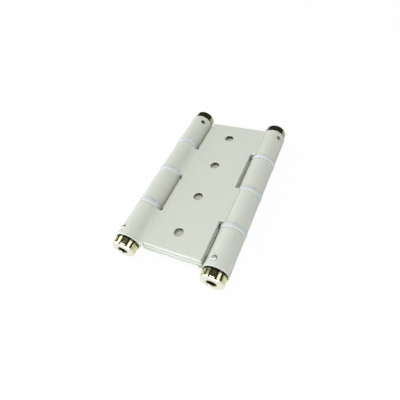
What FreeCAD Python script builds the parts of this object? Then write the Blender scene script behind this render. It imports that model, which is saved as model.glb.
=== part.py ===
import FreeCAD, Part
import math
import os

os.makedirs("parts", exist_ok=True)

# Driving sizes, in millimetres.
# X runs across the hinge, Y along the barrels, Z up.
# Each barrel's axis is midway between the two leaves that it joins, so the right one is lower.
leaf_length = 100.0
sheet = 2.5
leaf_gap = 0.6
axis_x = 25.6
barrel_r = 7.2
barrel_half = 51.0
bend_x = 15.85
notch_x = 17.9
middle_edge_x = 18.25
middle_clearance = 0.35
relief_r = 9.1
relief_reach = 0.4
edge_break = 0.3
outer_roll_end = 0.0
middle_roll_end = -2.0

# Right edge of the frame leaf: two teeth that reach the barrel, two notches.
tooth_clearance = 0.12
far_tooth_y = 27.75
mid_tooth_y_high = -0.5
mid_tooth_y_low = -24.5

# Ends of the slots beside the frame leaf's own knuckles, which differ a little from the rolls' ends.
far_slot_low = 22.9
mid_slot_high = -0.3
mid_slot_low = -28.4
slot_clearance = 0.25

# Screw holes, in a line, countersunk on the inner face of each outer leaf.
hole_pitch = 25.4
hole_count = 4
hole_r = 2.7
sink_r = 4.6
hole_break = 0.25
hole_x = 0.0

# Nylon washers between the knuckles.
washer_r = 7.5
washer_thick = 2.8
washer_break = 0.4
axial_fit = 0.1

# Barrel inside: tube, plugs of the caps, spring.
bore_fit = 0.05
tube_wall = 0.9
plug_length = 9.0
plug_break = 0.4
spring_wire = 1.6
spring_turns = 16
spring_steps = 8
spring_fit = 0.25
spring_end_gap = 1.2
hook_steps = 5
tang_slot_width = 2.0
tang_slot_depth = 2.2
tang_reach = 2.4

# End caps.
cap_r = 6.6
cap_length = 5.85
cap_rim_r = 6.85
cap_rim_thick = 0.9
cap_groove_r = 6.3
cap_groove_width = 0.35
cap_round = 1.2
hex_across_flats = 5.0
hex_depth = 4.2
hex_mouth = 0.35

# Lock pins, with the angle of each about its barrel from +X, 90 at the top.
pin_r = 1.5
pin_fit = 0.05
pin_y = 46.5
pin_seat_r = 2.2
pin_proud = 0.45
pin_sunk = 1.7
pin_dome = 0.6
pin_mouth = 0.3
frame_tension_angle = 120.0
door_tension_angle = 105.0
frame_anchor_angle = 58.0
door_anchor_angle = 47.0

# Values that follow from the sizes above.
pitch_z = sheet + leaf_gap
stack_z = washer_r + pitch_z / 2
knuckle = (2 * barrel_half - 3 * washer_thick) / 4
bore_r = barrel_r - sheet
tube_r = bore_r - bore_fit
tube_inner_r = tube_r - tube_wall
plug_end = barrel_half - plug_length
cap_end = barrel_half + cap_length
half_leaf = leaf_length / 2
proud_r = barrel_r + pin_proud
sunk_r = barrel_r - pin_sunk
frame_low = stack_z + pitch_z - sheet / 2
frame_top = frame_low + sheet
middle_low = stack_z - sheet / 2
left = -1
right = 1
same = 1e-4

# Y range of each knuckle, from the far end (+Y) to the near end.
knuckle_spans = []
for step in range(4):
    span_high = barrel_half - step * (knuckle + washer_thick)
    knuckle_spans.append((span_high - knuckle, span_high))

# Y range of each gap between knuckles, from the far end to the near end.
washer_spans = []
for step in range(3):
    washer_spans.append((knuckle_spans[step + 1][1], knuckle_spans[step][0]))


def point(x, y, z):
    return FreeCAD.Vector(x, y, z)


def box(x0, x1, y0, y1, z0, z1):
    return Part.makeBox(x1 - x0, y1 - y0, z1 - z0, point(x0, y0, z0))


def axis_z(side):
    # Height of a barrel's axis, side -1 left, +1 right.
    return stack_z - side * pitch_z / 2


def rod(radius, side, y0, y1):
    # Cylinder on a barrel's axis.
    return Part.makeCylinder(radius, y1 - y0, point(side * axis_x, y0, axis_z(side)), point(0, 1, 0))


def half_turn(shape):
    # Half a turn about the long centre line of the folded stack.
    turned = shape.copy()
    turned.rotate(point(0, 0, stack_z), point(0, 1, 0), 180)
    return turned


def rolled_section(bend_d, line_z, end_deg):
    # Outline of a bend and roll, with the barrel axis at 0, 0 and the plate to the right.
    # The sheet leaves the plate at bend_d, curves up and is rolled over the top and round.
    centre_r = barrel_r - sheet / 2
    bend_r = (bend_d ** 2 + line_z ** 2 - centre_r ** 2) / (2 * (centre_r - line_z))
    bend_z = line_z + bend_r
    start = math.atan2(bend_z, bend_d)
    end = math.radians(360 + end_deg)
    middle = (start + end) / 2
    down = -math.pi / 2
    halfway = (down + start - math.pi) / 2
    upper = bend_r - sheet / 2
    lower = bend_r + sheet / 2

    def on_roll(radius, angle):
        return point(radius * math.cos(angle), 0, radius * math.sin(angle))

    def on_bend(radius, angle):
        return point(bend_d + radius * math.cos(angle), 0, bend_z + radius * math.sin(angle))

    edges = [
        Part.Arc(on_bend(upper, down), on_bend(upper, halfway), on_roll(barrel_r, start)).toShape(),
        Part.Arc(on_roll(barrel_r, start), on_roll(barrel_r, middle), on_roll(barrel_r, end)).toShape(),
        Part.makeLine(on_roll(barrel_r, end), on_roll(bore_r, end)),
        Part.Arc(on_roll(bore_r, end), on_roll(bore_r, middle), on_roll(bore_r, start)).toShape(),
        Part.Arc(on_roll(bore_r, start), on_bend(lower, halfway), on_bend(lower, down)).toShape(),
        Part.makeLine(on_bend(lower, down), on_bend(upper, down)),
    ]
    return Part.Face(Part.Wire(edges))


def rolled_knuckle(section, y0, y1):
    # The section pulled along the left barrel, with the plate on its right.
    solid = section.extrude(point(0, y1 - y0, 0))
    solid.translate(point(-axis_x, y0, axis_z(left)))
    return solid


def is_cut_edge(face):
    # A flat face that stands square to the plate, where the blank was cut.
    return isinstance(face.Surface, Part.Plane) and abs(face.Surface.Axis.z) < same


def is_outside(face):
    # The frame leaf's top face, the hollow of its bend, or the outside of its rolls.
    if isinstance(face.Surface, Part.Plane):
        return abs(face.Surface.Axis.z) > 1 - same and abs(face.CenterOfMass.z - frame_top) < same
    if abs(face.Surface.Center.x + axis_x) < same:
        return abs(face.Surface.Radius - barrel_r) < same
    return face.BoundBox.ZMin > frame_top - edge_break


def is_roll_outside(face):
    # The outside of a roll on either barrel.
    return isinstance(face.Surface, Part.Cylinder) and abs(face.Surface.Radius - barrel_r) < same


def on_bend_line(edge):
    # An edge that runs along the line where an outer leaf starts to bend.
    bounds = edge.BoundBox
    return abs(bounds.XMin + bend_x) < same and abs(bounds.XMax + bend_x) < same


def break_edges(leaf, outside):
    # Takes the sharp corner off between the outside faces and the sheet's cut edges.
    # The edges along the bend line are left, and are broken by bevel_cutter between the knuckles.
    marked = []
    for edge in leaf.Edges:
        near = leaf.ancestorsOfType(edge, Part.Face)
        if len(near) != 2 or on_bend_line(edge):
            continue
        if is_cut_edge(near[0]) and outside(near[1]):
            marked.append(edge)
        elif is_cut_edge(near[1]) and outside(near[0]):
            marked.append(edge)
    return leaf.makeChamfer(edge_break, marked)


def bevel_cutter(y0, y1):
    # Three-cornered bar that bevels the top of the slot edge at the bend line, between y0 and y1.
    corners = [
        point(-bend_x, y0, frame_top),
        point(-bend_x + edge_break, y0, frame_top),
        point(-bend_x, y0, frame_top - edge_break),
    ]
    return flat(corners).extrude(point(0, y1 - y0, 0))


def radial(shape, side, y, angle):
    # Lays a shape drawn along +Z from a barrel's axis at the given angle about that axis.
    shape.rotate(point(0, 0, 0), point(0, 1, 0), 90 - angle)
    shape.translate(point(side * axis_x, y, axis_z(side)))
    return shape


def pin_hole(side, y, angle):
    # Radial hole for a lock pin, with its edge broken where it meets the barrel's outside.
    wide = pin_r + pin_fit
    drill = Part.makeCylinder(wide, 2 * barrel_r, point(0, 0, pin_seat_r - pin_fit))
    mouth_low = point(0, 0, barrel_r - pin_mouth)
    mouth = Part.makeCone(wide, wide + 2 * pin_mouth, 2 * pin_mouth, mouth_low)
    return radial(drill.fuse(mouth), side, y, angle)


def lock_pin(side, y, angle, head_r):
    # Round pin with a domed head, from inside the plug to head_r from the barrel's axis.
    pin = Part.makeCylinder(pin_r, head_r - pin_seat_r, point(0, 0, pin_seat_r))
    rim = [edge for edge in pin.Edges if abs(edge.BoundBox.ZMin - head_r) < same]
    return radial(pin.makeFillet(pin_dome, rim), side, y, angle)


def end_cap(side, end, angle):
    # Turned cap for the far end (+1) or near end (-1): plug, rim, groove and rounded head.
    # It has a hex socket outside, a slot for the spring's tang inside and a hole for the lock pin.
    rim_end = barrel_half + cap_rim_thick
    groove_end = rim_end + cap_groove_width
    round_mid = cap_round * math.sqrt(0.5)
    round_y = cap_end - cap_round
    round_r = cap_r - cap_round
    arc_start = point(cap_r, round_y, 0)
    arc_mid = point(round_r + round_mid, round_y + round_mid, 0)
    arc_end = point(round_r, cap_end, 0)
    lower_path = [
        point(0, cap_end, 0),
        point(0, plug_end, 0),
        point(tube_r - plug_break, plug_end, 0),
        point(tube_r, plug_end + plug_break, 0),
        point(tube_r, barrel_half, 0),
        point(cap_rim_r, barrel_half, 0),
        point(cap_rim_r, rim_end, 0),
        point(cap_groove_r, rim_end, 0),
        point(cap_groove_r, groove_end, 0),
        point(cap_r, groove_end, 0),
        arc_start,
    ]
    edges = [Part.makeLine(a, b) for a, b in zip(lower_path, lower_path[1:])]
    edges.append(Part.Arc(arc_start, arc_mid, arc_end).toShape())
    edges.append(Part.makeLine(arc_end, lower_path[0]))
    cap = Part.Face(Part.Wire(edges)).revolve(point(0, 0, 0), point(0, 1, 0), 360)

    corner_r = hex_across_flats / math.sqrt(3)
    corners = []
    for corner in range(7):
        turn = math.radians(60 * corner)
        corners.append(point(corner_r * math.cos(turn), cap_end - hex_depth, corner_r * math.sin(turn)))
    socket = Part.Face(Part.makePolygon(corners)).extrude(point(0, hex_depth, 0))
    mouth_r = corner_r + hex_mouth / 2
    mouth_base = point(0, cap_end - hex_mouth, 0)
    mouth = Part.makeCone(mouth_r - hex_mouth, mouth_r, hex_mouth, mouth_base, point(0, 1, 0))
    slot_half = tang_slot_width / 2
    slot = box(-tube_r, tube_r, plug_end, plug_end + tang_slot_depth, -slot_half, slot_half)
    cap = cap.cut(socket.fuse(mouth)).cut(slot)
    if end < 0:
        cap.rotate(point(0, 0, 0), point(0, 0, 1), 180)
    cap.translate(point(side * axis_x, 0, axis_z(side)))
    return cap.cut(pin_hole(side, end * pin_y, angle))


def washer(side, span):
    # Nylon ring that fills the gap between two knuckles.
    ring = rod(washer_r, side, span[0], span[1])
    rims = [edge for edge in ring.Edges if isinstance(edge.Curve, Part.Circle)]
    ring = ring.makeChamfer(washer_break, rims)
    return ring.cut(rod(bore_r, side, span[0], span[1]))


def spring_path():
    # Centre line of a torsion spring about the Y axis: a hooked tang, the coil, a hooked tang.
    coil_r = tube_inner_r - spring_fit - spring_wire / 2
    coil_half = plug_end - spring_end_gap - spring_wire
    hook_rise = spring_end_gap
    hook_r = coil_r / 2
    upper = []
    for step in range(1, hook_steps + 1):
        turn = math.pi * step / hook_steps
        height = coil_half + hook_rise * step / hook_steps
        upper.append(point(hook_r * math.sin(turn), height, hook_r + hook_r * math.cos(turn)))
    upper.append(point(-tang_reach, plug_end + tang_slot_depth / 2, 0))
    lower = [point(-spot.x, -spot.y, spot.z) for spot in reversed(upper)]
    coil = []
    total = spring_turns * spring_steps
    for step in range(total + 1):
        turn = 2 * math.pi * step / spring_steps
        height = -coil_half + 2 * coil_half * step / total
        coil.append(point(coil_r * math.sin(turn), height, coil_r * math.cos(turn)))
    return lower + coil + upper


def swept_square(path, width):
    # Square wire along a path of points, as a closed shell of flat facets.
    ways = []
    for index in range(len(path)):
        before = path[max(index - 1, 0)]
        after = path[min(index + 1, len(path) - 1)]
        ways.append((after - before).normalize())
    half = width / 2
    corners = ((half, half), (-half, half), (-half, -half), (half, -half))
    rings = []
    for spot, way in zip(path, ways):
        along = point(0, 1, 0) - way * way.y
        along = along.normalize()
        across = way.cross(along)
        rings.append([spot + along * a + across * b for a, b in corners])
    faces = [flat(rings[0]), flat(rings[-1])]
    for ring, after in zip(rings, rings[1:]):
        for side in range(4):
            beside = (side + 1) % 4
            faces.append(flat([ring[side], ring[beside], after[side]]))
            faces.append(flat([ring[beside], after[beside], after[side]]))
    shell = Part.Shell(faces)
    solid = Part.Solid(shell)
    if solid.Volume < 0:
        solid.reverse()
    return solid


def flat(corners):
    return Part.Face(Part.makePolygon(list(corners) + [corners[0]]))


# Frame leaf, the top one: plate, teeth and notches on the right, two rolled knuckles on the left.
frame_section = rolled_section(axis_x - bend_x, pitch_z / 2, outer_roll_end)
plate = box(-bend_x, notch_x, -half_leaf, half_leaf, frame_low, frame_top)
far_tooth = box(notch_x, axis_x, far_tooth_y, half_leaf, frame_low, frame_top)
mid_tooth = box(notch_x, axis_x, mid_tooth_y_low, mid_tooth_y_high, frame_low, frame_top)
tooth_room = rod(barrel_r + tooth_clearance, right, -barrel_half, barrel_half)
teeth = far_tooth.fuse(mid_tooth).cut(tooth_room)
mid_span = knuckle_spans[1]
near_span = knuckle_spans[3]
mid_knuckle = rolled_knuckle(frame_section, mid_span[0] + axial_fit, mid_span[1] - axial_fit)
near_knuckle = rolled_knuckle(frame_section, near_span[0], near_span[1] - axial_fit)
outer_leaf = plate.fuse([teeth, mid_knuckle, near_knuckle]).removeSplitter()
outer_leaf = break_edges(outer_leaf, is_outside)
far_bevel = bevel_cutter(mid_span[1] + edge_break, half_leaf)
mid_bevel = bevel_cutter(near_span[1] + edge_break, mid_span[0] - edge_break)
outer_leaf = outer_leaf.cut(far_bevel.fuse(mid_bevel))

# The corner of the middle tooth that stands beside the centre washer is cut back round it.
washer_low, washer_high = washer_spans[1]
washer_room = rod(washer_r + tooth_clearance, right, washer_low - axial_fit, washer_high + axial_fit)
outer_leaf = outer_leaf.cut(washer_room)

# Beside the frame leaf's own knuckles the slots are cut a little past the rolls' far ends,
# and a short lip of the bend stands past the middle roll's near end, clear of the washer.
slot_rod = rod(washer_r + slot_clearance, left, -barrel_half, barrel_half)
far_nick = box(-axis_x, -bend_x, far_slot_low, mid_span[1], frame_low - sheet, frame_top + sheet)
mid_nick = box(-axis_x, -bend_x, mid_slot_low, near_span[1], frame_low - sheet, frame_top + sheet)
outer_leaf = outer_leaf.cut(far_nick.fuse(mid_nick).cut(slot_rod))
lip = rolled_knuckle(frame_section, mid_slot_high, mid_span[0] + axial_fit).cut(slot_rod)
outer_leaf = outer_leaf.fuse(lip).removeSplitter()

# Screw holes of the outer leaves.
first_hole = -hole_pitch * (hole_count - 1) / 2
for step in range(hole_count):
    hole_y = first_hole + step * hole_pitch
    drill = Part.makeCylinder(hole_r, sheet, point(hole_x, hole_y, frame_low))
    sink = Part.makeCone(sink_r, hole_r, sink_r - hole_r, point(hole_x, hole_y, frame_low))
    lip_low = point(hole_x, hole_y, frame_top - hole_break)
    lip = Part.makeCone(hole_r, hole_r + hole_break, hole_break, lip_low)
    outer_leaf = outer_leaf.cut(drill.fuse([sink, lip]))

# The door leaf is the same pressing turned half a turn, each with its own lock pin hole.
frame_leaf = outer_leaf.cut(pin_hole(left, -pin_y, frame_tension_angle))
door_leaf = half_turn(outer_leaf).cut(pin_hole(right, -pin_y, door_tension_angle))

# Middle leaf: plain plate, two knuckles rolled under on the left and two rolled over on the right.
middle_section = rolled_section(axis_x - middle_edge_x, pitch_z / 2, middle_roll_end)
middle_leaf = box(-middle_edge_x, middle_edge_x, -half_leaf, half_leaf, middle_low, middle_low + sheet)
for span in (knuckle_spans[0], knuckle_spans[2]):
    over = rolled_knuckle(middle_section, span[0], span[1])
    under = over.mirror(point(0, 0, axis_z(left)), point(0, 0, 1))
    middle_leaf = middle_leaf.fuse([under, half_turn(under)])
middle_leaf = break_edges(middle_leaf.removeSplitter(), is_roll_outside)

# Between its own knuckles the middle leaf reaches out to the other leaves' knuckles,
# with its edge hollowed to clear them.
# Beside each washer it has a deeper relief cut, which ends at the foot of its own knuckle,
# and the near end is cut back a little for the head of the proud lock pin, which passes there.
far_reach = box(-axis_x, axis_x, washer_spans[1][1], washer_spans[0][0], middle_low, middle_low + sheet)
near_reach = box(-axis_x, axis_x, -half_leaf, washer_spans[2][0], middle_low, middle_low + sheet)
middle_leaf = middle_leaf.fuse([far_reach, near_reach]).removeSplitter()
free_spans = ((knuckle_spans[2][1], knuckle_spans[0][0]), (-barrel_half, knuckle_spans[2][0]))
relief_spans = (
    (washer_spans[0][0] - relief_reach, knuckle_spans[0][0]),
    (knuckle_spans[2][1], washer_spans[1][1] + relief_reach),
    (washer_spans[2][0] - relief_reach, knuckle_spans[2][0]),
)
for side in (left, right):
    for low, high in free_spans:
        middle_leaf = middle_leaf.cut(rod(barrel_r + middle_clearance, side, low, high))
    for low, high in relief_spans:
        middle_leaf = middle_leaf.cut(rod(relief_r, side, low, high))
    pin_path_high = -pin_y + pin_r + relief_reach
    middle_leaf = middle_leaf.cut(rod(proud_r + middle_clearance, side, -barrel_half, pin_path_high))
middle_leaf = middle_leaf.cut(pin_hole(left, pin_y, frame_anchor_angle))
middle_leaf = middle_leaf.cut(pin_hole(right, pin_y, door_anchor_angle))

nodes = {"frame_leaf": frame_leaf, "middle_leaf": middle_leaf, "door_leaf": door_leaf}

# Both barrels: tube, spring, caps, pins and washers.
spring = swept_square(spring_path(), spring_wire)
barrels = (
    ("frame", left, frame_tension_angle, frame_anchor_angle),
    ("door", right, door_tension_angle, door_anchor_angle),
)
for name, side, tension_angle, anchor_angle in barrels:
    tube = rod(tube_r, side, -plug_end + axial_fit, plug_end)
    tube = tube.cut(rod(tube_inner_r, side, -plug_end, plug_end))
    nodes[name + "_pivot_tube"] = tube
    coil = spring.copy()
    coil.translate(point(side * axis_x, 0, axis_z(side)))
    nodes[name + "_spring"] = coil
    nodes[name + "_tension_cap"] = end_cap(side, -1, tension_angle)
    nodes[name + "_anchor_cap"] = end_cap(side, 1, anchor_angle)
    nodes[name + "_tension_pin"] = lock_pin(side, -pin_y, tension_angle, proud_r)
    nodes[name + "_anchor_pin"] = lock_pin(side, pin_y, anchor_angle, sunk_r)
    for place, span in zip(("far", "centre", "near"), washer_spans):
        nodes[name + "_" + place + "_washer"] = washer(side, span)

for name, shape in nodes.items():
    print(name, shape.isValid(), len(shape.Solids), round(shape.Volume, 1))
    shape.exportStep("parts/" + name + ".step")
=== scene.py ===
import math

import bpy
from mathutils import Matrix, Vector


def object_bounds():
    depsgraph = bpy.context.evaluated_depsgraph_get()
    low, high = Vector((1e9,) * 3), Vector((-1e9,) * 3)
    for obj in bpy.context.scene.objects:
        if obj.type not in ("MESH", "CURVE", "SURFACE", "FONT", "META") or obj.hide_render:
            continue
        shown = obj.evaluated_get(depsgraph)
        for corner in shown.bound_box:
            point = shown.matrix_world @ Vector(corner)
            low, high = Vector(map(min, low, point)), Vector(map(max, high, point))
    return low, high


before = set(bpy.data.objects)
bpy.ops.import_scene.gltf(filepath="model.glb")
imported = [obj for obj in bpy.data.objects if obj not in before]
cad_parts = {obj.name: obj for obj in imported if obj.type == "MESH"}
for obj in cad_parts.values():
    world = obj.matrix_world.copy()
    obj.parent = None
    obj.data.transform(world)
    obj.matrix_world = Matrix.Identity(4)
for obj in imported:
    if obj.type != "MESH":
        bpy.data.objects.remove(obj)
cad_low, cad_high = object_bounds()

# Leaves.
# Three steel pressings, each cut from sheet, bent and rolled into knuckles.
# They are stove enamelled off-white, with a satin skin and a faint orange peel.
enamel_colour = (0.68, 0.69, 0.60, 1.0)
enamel_shade = (0.65, 0.66, 0.57, 1.0)
enamel_cloud_scale = 55.0
enamel_peel_scale = 1100.0
enamel_peel_height = 0.000012
enamel_rough_low = 0.42
enamel_rough_high = 0.54
enamel_specular = 0.35
patch_detail = 3.0
grain_detail = 1.5
leaf_nodes = ("frame_leaf", "middle_leaf", "door_leaf")


def make_uneven_skin():
    # Soft patches and a finer grain, each put out as a mask at its own scale.
    group = bpy.data.node_groups.new("uneven_skin", "ShaderNodeTree")
    group.interface.new_socket("Patch Scale", in_out="INPUT", socket_type="NodeSocketFloat")
    group.interface.new_socket("Grain Scale", in_out="INPUT", socket_type="NodeSocketFloat")
    group.interface.new_socket("Patches", in_out="OUTPUT", socket_type="NodeSocketFloat")
    group.interface.new_socket("Grain", in_out="OUTPUT", socket_type="NodeSocketFloat")
    inputs = group.nodes.new("NodeGroupInput")
    outputs = group.nodes.new("NodeGroupOutput")
    source = group.nodes.new("ShaderNodeTexCoord")
    layers = (("Patch Scale", "Patches", patch_detail), ("Grain Scale", "Grain", grain_detail))
    for scale_name, mask_name, detail in layers:
        noise = group.nodes.new("ShaderNodeTexNoise")
        noise.inputs["Detail"].default_value = detail
        group.links.new(source.outputs["Object"], noise.inputs["Vector"])
        group.links.new(inputs.outputs[scale_name], noise.inputs["Scale"])
        group.links.new(noise.outputs["Fac"], outputs.inputs[mask_name])
    return group


uneven_skin = make_uneven_skin()


def new_finish(name):
    # A new finish: its material, node tree and shader.
    finish = bpy.data.materials.new(name)
    finish.use_nodes = True
    shader = finish.node_tree.nodes["Principled BSDF"]
    return finish, finish.node_tree, shader


def place_skin(tree, patch_scale, grain_scale):
    # The uneven skin of one finish: the masks of its patches and of its grain.
    skin = tree.nodes.new("ShaderNodeGroup")
    skin.node_tree = uneven_skin
    skin.inputs["Patch Scale"].default_value = patch_scale
    skin.inputs["Grain Scale"].default_value = grain_scale
    return skin.outputs["Patches"], skin.outputs["Grain"]


def mix_colours(tree, mask, first, second):
    # Two colours, each a value or a socket, mixed by a mask of 0 to 1.
    mix = tree.nodes.new("ShaderNodeMix")
    mix.data_type = "RGBA"
    for slot, colour in (("A", first), ("B", second)):
        if isinstance(colour, tuple):
            mix.inputs[slot].default_value = colour
        else:
            tree.links.new(colour, mix.inputs[slot])
    tree.links.new(mask, mix.inputs["Factor"])
    return mix.outputs["Result"]


def spread(tree, mask, low, high):
    # A mask of 0 to 1 carried to a range of values.
    span = tree.nodes.new("ShaderNodeMapRange")
    span.inputs["To Min"].default_value = low
    span.inputs["To Max"].default_value = high
    tree.links.new(mask, span.inputs["Value"])
    return span.outputs["Result"]


def raise_grain(tree, grain, height):
    # The normals of a surface that a grain raises by a height in metres.
    bump = tree.nodes.new("ShaderNodeBump")
    bump.inputs["Distance"].default_value = height
    tree.links.new(grain, bump.inputs["Height"])
    return bump.outputs["Normal"]


def give_finish(finish, names):
    for name in names:
        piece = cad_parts[name]
        piece.data.materials.clear()
        piece.data.materials.append(finish)


enamel, tree, shader = new_finish("off_white_enamel")
patches, grain = place_skin(tree, enamel_cloud_scale, enamel_peel_scale)
colour = mix_colours(tree, patches, enamel_shade, enamel_colour)
roughness = spread(tree, grain, enamel_rough_low, enamel_rough_high)
tree.links.new(colour, shader.inputs["Base Color"])
tree.links.new(roughness, shader.inputs["Roughness"])
tree.links.new(raise_grain(tree, grain, enamel_peel_height), shader.inputs["Normal"])
shader.inputs["Specular IOR Level"].default_value = enamel_specular
give_finish(enamel, leaf_nodes)

# End caps.
# Turned from brass bar and polished, with a hex socket for the key that winds the spring.
# The faced ends are painted paler than the sides, as a painted reflection.
# A plug and a lock pin hold each cap in its knuckle.
brass_colour = (0.75, 0.73, 0.50, 1.0)
brass_shade = (0.51, 0.48, 0.22, 1.0)
brass_patch_scale = 120.0
brass_grain_scale = 1500.0
brass_rough_low = 0.07
brass_rough_high = 0.17
# Painted reflection: the end faces are coloured paler, for the white floor mirrored in them.
face_reflection_colour = (0.83, 0.84, 0.71, 1.0)
face_reflection_shade = (0.75, 0.75, 0.60, 1.0)
face_edge = (0.0556, 0.0564)
lathe_ring_pitch = 0.00025
lathe_ring_height = 0.0000015
# Painted shade in the gap where the cap goes into its knuckle.
cap_root_shade_colour = (0.10, 0.09, 0.05, 1.0)
cap_root_shade_edge = (0.0518, 0.0523)
# Painted shade: the socket's inside and its mouth are coloured dark for the shade in the recess.
socket_shade_colour = (0.05, 0.053, 0.022, 1.0)
socket_reach = (0.0033, 0.0035)
socket_depth = (0.05670, 0.05683)
mouth_shade_colour = (0.22, 0.21, 0.10, 1.0)
mouth_depth = (0.05645, 0.05655)
barrel_reach = 0.0256
barrel_height = 0.00905
barrel_drop = 0.00155
cap_nodes = ("frame_tension_cap", "frame_anchor_cap", "door_tension_cap", "door_anchor_cap")


def axis_values(tree, coordinates):
    # The X, Y and Z of one kind of coordinates.
    source = tree.nodes.new("ShaderNodeTexCoord")
    split = tree.nodes.new("ShaderNodeSeparateXYZ")
    tree.links.new(source.outputs[coordinates], split.inputs["Vector"])
    return split.outputs


def work_out(tree, operation, *values):
    # One step of arithmetic on one or two values, each a number or a socket.
    node = tree.nodes.new("ShaderNodeMath")
    node.operation = operation
    for slot, value in enumerate(values):
        if isinstance(value, float):
            node.inputs[slot].default_value = value
        else:
            tree.links.new(value, node.inputs[slot])
    return node.outputs["Value"]


def fade(tree, value, at_zero, at_one):
    # A mask that goes smoothly from 0 to 1 between two values.
    span = tree.nodes.new("ShaderNodeMapRange")
    span.interpolation_type = "SMOOTHSTEP"
    span.inputs["From Min"].default_value = at_zero
    span.inputs["From Max"].default_value = at_one
    tree.links.new(value, span.inputs["Value"])
    return span.outputs["Result"]


def far_from_centre(tree, axis, at_zero, at_one):
    # A mask from the distance to the middle of the hinge along one axis.
    distance = work_out(tree, "ABSOLUTE", axis_values(tree, "Object")[axis])
    return fade(tree, distance, at_zero, at_one)


def barrel_radius(tree):
    # The distance to the nearer barrel's axis. The right barrel lies lower than the left one.
    spot = axis_values(tree, "Object")
    across = work_out(tree, "SUBTRACT", work_out(tree, "ABSOLUTE", spot["X"]), barrel_reach)
    drop = work_out(tree, "MULTIPLY", work_out(tree, "SIGN", spot["X"]), barrel_drop)
    above = work_out(tree, "ADD", work_out(tree, "SUBTRACT", spot["Z"], barrel_height), drop)
    across_squared = work_out(tree, "MULTIPLY", across, across)
    above_squared = work_out(tree, "MULTIPLY", above, above)
    return work_out(tree, "SQRT", work_out(tree, "ADD", across_squared, above_squared))


brass, tree, shader = new_finish("polished_brass")
patches, grain = place_skin(tree, brass_patch_scale, brass_grain_scale)
radius = barrel_radius(tree)

# Polished outside, with painted shade where the cap goes into its knuckle.
side = mix_colours(tree, patches, brass_shade, brass_colour)
face = mix_colours(tree, patches, face_reflection_shade, face_reflection_colour)
# Painted reflection: the faced ends take a paler colour than the sides.
sides_with_face_reflection = mix_colours(tree, far_from_centre(tree, "Y", *face_edge), side, face)
cap = mix_colours(tree, far_from_centre(tree, "Y", *cap_root_shade_edge), cap_root_shade_colour, sides_with_face_reflection)

# Painted shade: the socket is dark and dull inside, with a lighter olive lead-in at its mouth.
socket = mix_colours(tree, far_from_centre(tree, "Y", *mouth_depth), socket_shade_colour, mouth_shade_colour)
round_socket = fade(tree, radius, *socket_reach)
outside_socket = work_out(
    tree, "MAXIMUM", round_socket, far_from_centre(tree, "Y", *socket_depth)
)
colour = mix_colours(tree, outside_socket, socket, cap)
roughness = spread(tree, grain, brass_rough_low, brass_rough_high)
rings = work_out(tree, "SINE", work_out(tree, "MULTIPLY", radius, 2 * math.pi / lathe_ring_pitch))
tree.links.new(colour, shader.inputs["Base Color"])
tree.links.new(roughness, shader.inputs["Roughness"])
tree.links.new(outside_socket, shader.inputs["Metallic"])
tree.links.new(raise_grain(tree, rings, lathe_ring_height), shader.inputs["Normal"])
give_finish(brass, cap_nodes)

# Nylon washers.
# Moulded rings of natural nylon that keep the painted knuckles apart.
# Pale, slightly blue and a little see-through.
nylon_colour = (0.66, 0.69, 0.68, 1.0)
nylon_shade = (0.61, 0.64, 0.63, 1.0)
nylon_patch_scale = 300.0
nylon_grain_scale = 2200.0
nylon_rough_low = 0.48
nylon_rough_high = 0.62
nylon_glow = 0.03
nylon_depth = (0.0012, 0.0014, 0.0016)
washer_nodes = (
    "frame_far_washer",
    "frame_centre_washer",
    "frame_near_washer",
    "door_far_washer",
    "door_centre_washer",
    "door_near_washer",
)

nylon, tree, shader = new_finish("natural_nylon")
patches, grain = place_skin(tree, nylon_patch_scale, nylon_grain_scale)
colour = mix_colours(tree, patches, nylon_shade, nylon_colour)
roughness = spread(tree, grain, nylon_rough_low, nylon_rough_high)
tree.links.new(colour, shader.inputs["Base Color"])
tree.links.new(roughness, shader.inputs["Roughness"])
shader.inputs["Subsurface Weight"].default_value = nylon_glow
shader.inputs["Subsurface Radius"].default_value = nylon_depth
give_finish(nylon, washer_nodes)

# Lock pins, pivot tubes and springs.
# Bright drawn steel: the near pins lock the tension caps, and the tubes and springs are shut
# in the barrels. The far pins, driven below the surface, are painted near-black as hole shade.
bare_metal = 1.0
steel_colour = (0.76, 0.75, 0.72, 1.0)
steel_shade = (0.60, 0.59, 0.57, 1.0)
steel_patch_scale = 400.0
steel_grain_scale = 3000.0
steel_rough_low = 0.24
steel_rough_high = 0.38
steel_nodes = (
    "frame_tension_pin",
    "door_tension_pin",
    "frame_pivot_tube",
    "door_pivot_tube",
    "frame_spring",
    "door_spring",
)

steel, tree, shader = new_finish("drawn_steel")
patches, grain = place_skin(tree, steel_patch_scale, steel_grain_scale)
colour = mix_colours(tree, patches, steel_shade, steel_colour)
roughness = spread(tree, grain, steel_rough_low, steel_rough_high)
tree.links.new(colour, shader.inputs["Base Color"])
tree.links.new(roughness, shader.inputs["Roughness"])
shader.inputs["Metallic"].default_value = bare_metal
give_finish(steel, steel_nodes)

# Painted shade: the sunk far pins are coloured near-black for the shade in their holes.
sunk_pin_shade_colour = (0.045, 0.043, 0.040, 1.0)
sunk_pin_deep_shade = (0.025, 0.024, 0.022, 1.0)
black_rough_low = 0.45
black_rough_high = 0.65
sunk_pin_nodes = ("frame_anchor_pin", "door_anchor_pin")

hole_shaded_pins, tree, shader = new_finish("steel_dark_with_hole_shade")
patches, grain = place_skin(tree, steel_patch_scale, steel_grain_scale)
colour = mix_colours(tree, patches, sunk_pin_deep_shade, sunk_pin_shade_colour)
roughness = spread(tree, grain, black_rough_low, black_rough_high)
tree.links.new(colour, shader.inputs["Base Color"])
tree.links.new(roughness, shader.inputs["Roughness"])
shader.inputs["Metallic"].default_value = bare_metal
give_finish(hole_shaded_pins, sunk_pin_nodes)

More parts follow.
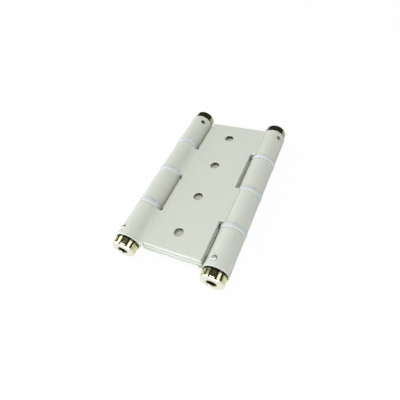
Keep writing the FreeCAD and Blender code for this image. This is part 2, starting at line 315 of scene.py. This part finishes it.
# Floor.
# A wide sheet of white paper, seen and mirrored as plain white beside the hinge.
# Under the hinge, and in the small share left of its own shading, it keeps the hinge's shadow.
floor_reach = 3.0
floor_colour = (0.9, 0.9, 0.9, 1.0)
floor_white_share = 0.96
floor_white_level = 1.0
floor_back_level = 0.6
back_edge = (-0.056, 0.01)
shade_x = (0.016, 0.026)
shade_y = (0.036, 0.046)


def looked_at(tree, rays, mirrored):
    # A mask of the rays that look: straight, through something clear, or by a mirror.
    straight = work_out(tree, "MAXIMUM", rays["Is Camera Ray"], rays["Is Transmission Ray"])
    return work_out(tree, "MAXIMUM", straight, mirrored)


bpy.ops.object.select_all(action="DESELECT")
bpy.ops.mesh.primitive_plane_add(size=2 * floor_reach, location=(0, 0, 0))
floor = bpy.context.object
floor.name = "floor"
paper = bpy.data.materials.new("white_paper")
paper.use_nodes = True
tree = paper.node_tree
tree.nodes.clear()
rays = tree.nodes.new("ShaderNodeLightPath").outputs
sheet = tree.nodes.new("ShaderNodeBsdfDiffuse")
sheet.inputs["Color"].default_value = floor_colour

# In a mirror, the white falls off towards the far end of the hinge.
white = tree.nodes.new("ShaderNodeEmission")
behind = fade(tree, axis_values(tree, "Object")["Y"], *back_edge)
mirrored_behind = work_out(tree, "MULTIPLY", rays["Is Glossy Ray"], behind)
white_level = spread(tree, mirrored_behind, floor_white_level, floor_back_level)
tree.links.new(white_level, white.inputs["Strength"])

beside_x = far_from_centre(tree, "X", *shade_x)
beside_y = far_from_centre(tree, "Y", *shade_y)
beside = work_out(tree, "MAXIMUM", beside_x, beside_y)
seen_beside = work_out(tree, "MULTIPLY", beside, looked_at(tree, rays, rays["Is Glossy Ray"]))
white_share = work_out(tree, "MULTIPLY", seen_beside, floor_white_share)
blend = tree.nodes.new("ShaderNodeMixShader")
end = tree.nodes.new("ShaderNodeOutputMaterial")
tree.links.new(white_share, blend.inputs["Fac"])
tree.links.new(sheet.outputs["BSDF"], blend.inputs[1])
tree.links.new(white.outputs["Emission"], blend.inputs[2])
tree.links.new(blend.outputs["Shader"], end.inputs["Surface"])
floor.data.materials.append(paper)

# Light.
# Soft boxes overhead and on each side, and low cards in front and on the left, in a dim room.
# The room looks white, but in a mirror it is white only low down in front of the hinge.
object_middle = (Vector(cad_low) + Vector(cad_high)) / 2
neutral = (1.0, 1.0, 1.0)
cool = (0.89, 0.945, 1.0)
soft_boxes = (
    ("top_box", (0.00, -0.06, 1.10), (0.85, 0.60), 7.3, neutral),
    ("left_box", (-0.84, -0.05, 0.70), (0.80, 0.50), 4.2, cool),
    ("right_box", (0.85, 0.00, 0.62), (0.72, 0.45), 2.1, cool),
    ("left_card", (-0.95, -0.35, 0.22), (0.90, 0.35), 4.8, cool),
    ("front_card", (0.10, -0.95, 0.14), (1.20, 0.25), 7.6, cool),
)
room_colour = (1.0, 1.0, 1.0, 1.0)
room_level = 0.035
front_edge = (0.16, 0.0)
low_edge = (0.50, 0.38)

for name, place, (width, height), power, glow in soft_boxes:
    lamp = bpy.data.lights.new(name, "AREA")
    lamp.shape = "RECTANGLE"
    lamp.size = width
    lamp.size_y = height
    lamp.energy = power
    lamp.color = glow
    box = bpy.data.objects.new(name, lamp)
    box.location = place
    box.rotation_euler = (object_middle - box.location).to_track_quat("-Z", "Y").to_euler()
    bpy.context.scene.collection.objects.link(box)

room = bpy.data.worlds.new("studio")
room.use_nodes = True
tree = room.node_tree
rays = tree.nodes.new("ShaderNodeLightPath").outputs
air = tree.nodes["Background"]
air.inputs["Color"].default_value = room_colour

# Behind and above, the mirrored room is dim, so the polished brass keeps its dark bands.
heading = axis_values(tree, "Generated")
in_front = fade(tree, heading["Y"], *front_edge)
low_down = fade(tree, heading["Z"], *low_edge)
white_wall = work_out(tree, "MULTIPLY", in_front, low_down)
mirrored = work_out(tree, "MULTIPLY", rays["Is Glossy Ray"], white_wall)
level = spread(tree, looked_at(tree, rays, mirrored), room_level, floor_white_level)
tree.links.new(level, air.inputs["Strength"])
bpy.context.scene.world = room

# Camera.
# Stands over the near right corner, tilted down and slightly rolled.
# Its place and angles come from fitting the hinge's corners to the photograph.
camera_place = (0.0670, -0.10808, 0.15021)
camera_azimuth = 34.877
camera_elevation = 50.353
camera_roll = -14.174
camera_lens = 28.347
camera_sensor = 36.0
camera_near_clip = 0.005

lens = bpy.data.cameras.new("camera")
lens.lens = camera_lens
lens.sensor_width = camera_sensor
lens.sensor_fit = "HORIZONTAL"
lens.clip_start = camera_near_clip
camera = bpy.data.objects.new("camera", lens)
turn = Matrix.Rotation(math.radians(camera_azimuth), 4, "Z")
tilt = Matrix.Rotation(math.radians(90 - camera_elevation), 4, "X")
roll = Matrix.Rotation(math.radians(camera_roll), 4, "Z")
camera.matrix_world = Matrix.Translation(camera_place) @ turn @ tilt @ roll
bpy.context.scene.collection.objects.link(camera)
bpy.context.scene.camera = camera
bpy.context.scene.view_settings.view_transform = "Standard"
